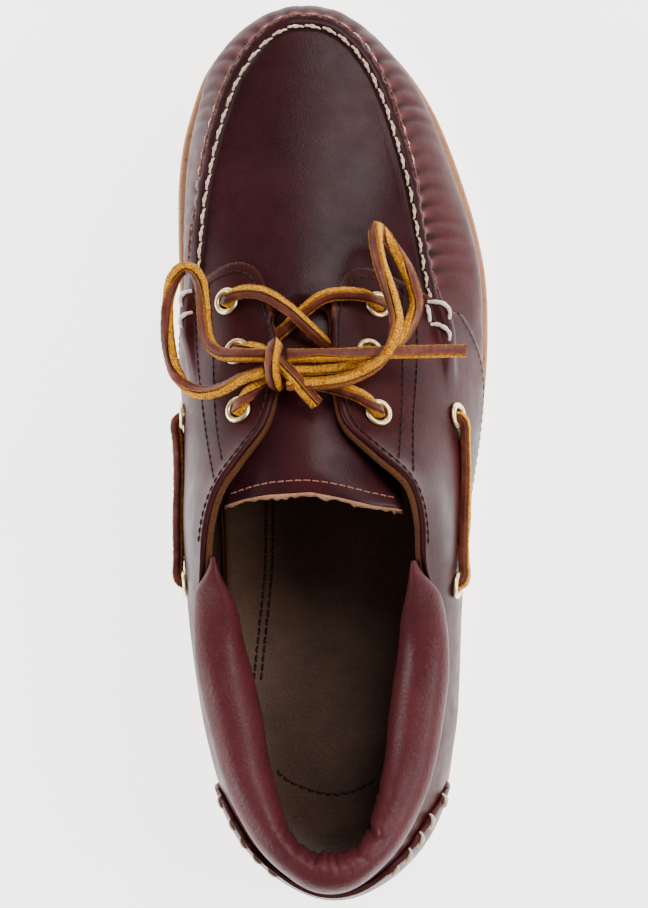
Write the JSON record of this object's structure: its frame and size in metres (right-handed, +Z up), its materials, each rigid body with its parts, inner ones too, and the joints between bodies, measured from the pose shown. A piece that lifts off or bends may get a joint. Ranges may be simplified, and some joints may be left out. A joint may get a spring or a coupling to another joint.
{
  "type": "boat shoe",
  "caption": "Right moccasin boat shoe in oxblood leather: hand-sewn apron toe, rawhide lace tied in a bow, rawhide side laces, padded collar and gum sole.",
  "frame": {"origin": "centre of the bounding box at the floor, without the free lace", "axes": "+Y from heel to toe, +X to the outer side of the right foot, +Z up from the floor"},
  "size_m": [0.1026, 0.2826, 0.09],
  "materials": {
    "gum_rubber": "satin gum rubber",
    "oxblood_leather": "waxed pull-up leather, semi-gloss",
    "burgundy_collar_leather": "soft leather over foam, satin",
    "brown_insole_leather": "matt sock leather",
    "rawhide_lace": "matt rawhide, raw sides",
    "pale_brass": "polished, slightly tarnished"
  },
  "bodies": {
    "root": {"collar": "burgundy_collar_leather", "eyelet_lateral_1": "pale_brass", "eyelet_lateral_2": "pale_brass", "eyelet_lateral_3": "pale_brass", "eyelet_lateral_front": "pale_brass", "eyelet_lateral_rear": "pale_brass", "eyelet_medial_1": "pale_brass", "eyelet_medial_2": "pale_brass", "eyelet_medial_3": "pale_brass", "eyelet_medial_front": "pale_brass", "eyelet_medial_rear": "pale_brass", "heel_counter": "oxblood_leather", "insole": "brown_insole_leather", "lace_bars": "rawhide_lace", "lace_crossing": "rawhide_lace", "lace_end_long": "rawhide_lace", "lace_end_short": "rawhide_lace", "lace_knot": "rawhide_lace", "lace_loop_lateral": "rawhide_lace", "lace_loop_medial": "rawhide_lace", "lace_side_lateral": "rawhide_lace", "lace_side_medial": "rawhide_lace", "outsole": "gum_rubber", "quarter_lateral": "oxblood_leather", "quarter_medial": "oxblood_leather", "tongue": "oxblood_leather", "upper": "oxblood_leather"}
  },
  "joints": []
}
